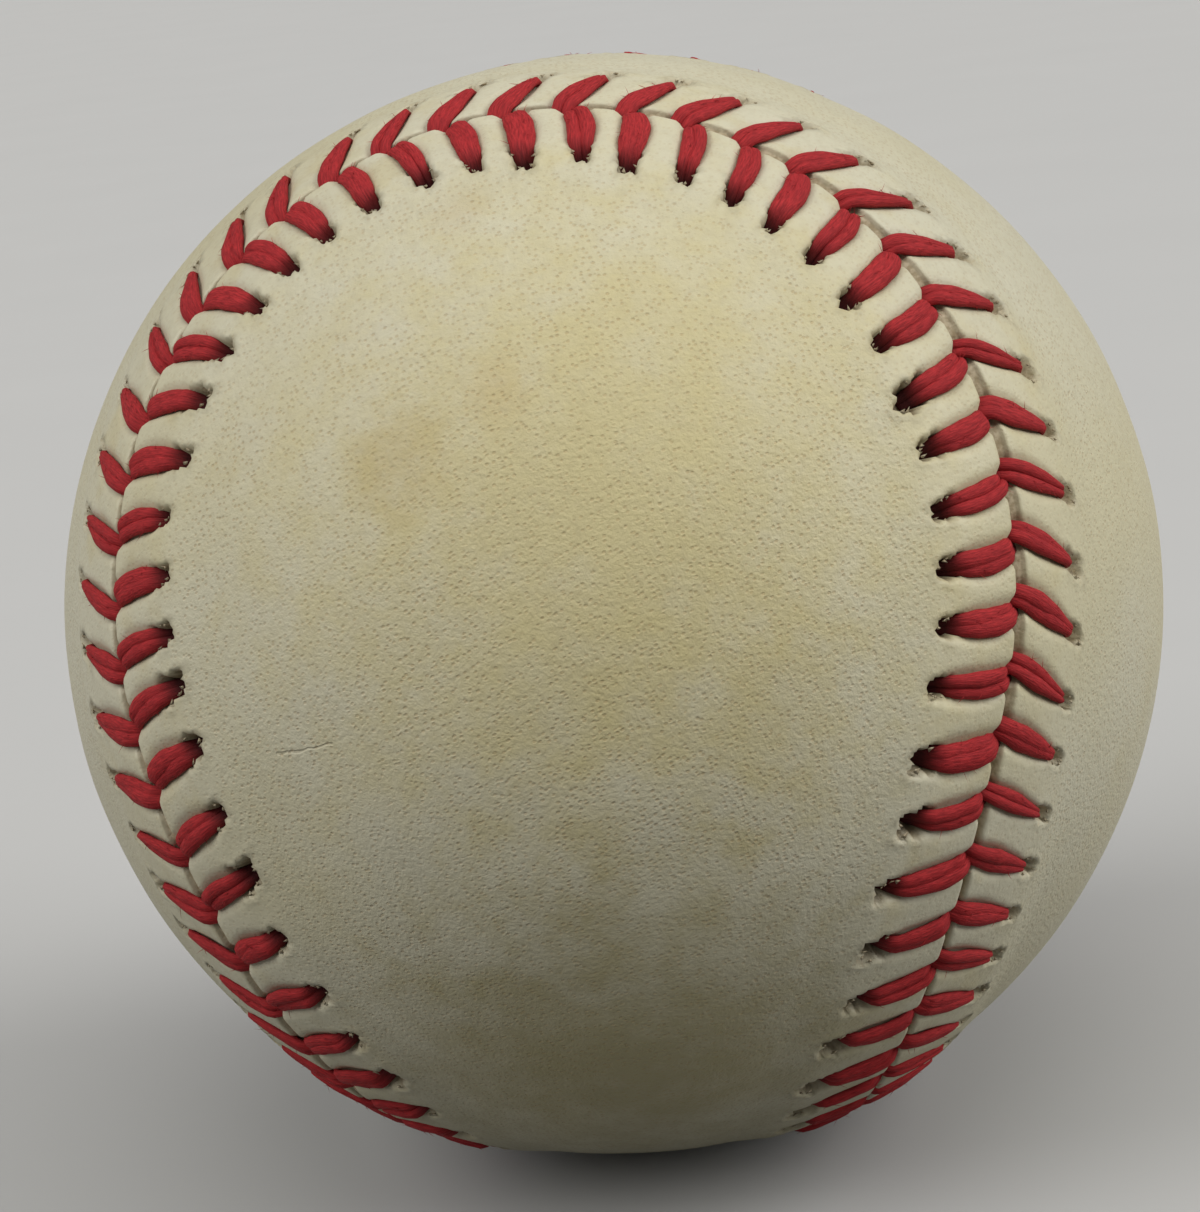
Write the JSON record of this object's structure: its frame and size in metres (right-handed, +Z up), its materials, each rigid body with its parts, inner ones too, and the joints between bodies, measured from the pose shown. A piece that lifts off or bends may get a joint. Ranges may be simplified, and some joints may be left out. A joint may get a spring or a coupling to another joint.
{
  "type": "baseball",
  "caption": "Stitched leather ball for throwing and batting: a cork and rubber pill wound with yarn, in a two-panel white hide cover sewn with raised red stitches",
  "frame": {"origin": "centre of the ball", "axes": "+Z up, through the middles of the two panels' narrow waists; -Y through the middle of the front lobe of panel b; +X through the middle of the right lobe of panel a"},
  "size_m": [0.074, 0.074, 0.0746],
  "materials": {
    "cork": "granular cork and rubber composition, matte",
    "black_rubber": "moulded, matte",
    "red_rubber": "moulded, matte",
    "grey_wool": "wound wool yarn",
    "white_wool": "wound wool yarn",
    "cotton": "fine wound cotton",
    "cement": "thin dried coat, tacky",
    "cover_leather": "alum-tanned ivory hide, satin, with pores and light stains",
    "red_thread": "waxed cotton, two strands side by side"
  },
  "bodies": {
    "root": {"cork_core": "cork", "rubber_cup_upper": "black_rubber", "rubber_cup_lower": "black_rubber", "cup_gasket": "red_rubber", "red_rubber_jacket": "red_rubber", "inner_grey_wool_winding": "grey_wool", "white_wool_winding": "white_wool", "outer_grey_wool_winding": "grey_wool", "cotton_winding": "cotton", "cement_coat": "cement", "cover_panel_a": "cover_leather", "cover_panel_b": "cover_leather", "stitches_front_on_a": "red_thread", "stitches_front_on_b": "red_thread", "stitches_right_on_a": "red_thread", "stitches_right_on_b": "red_thread", "stitches_back_on_a": "red_thread", "stitches_back_on_b": "red_thread", "stitches_left_on_a": "red_thread", "stitches_left_on_b": "red_thread"}
  },
  "joints": []
}
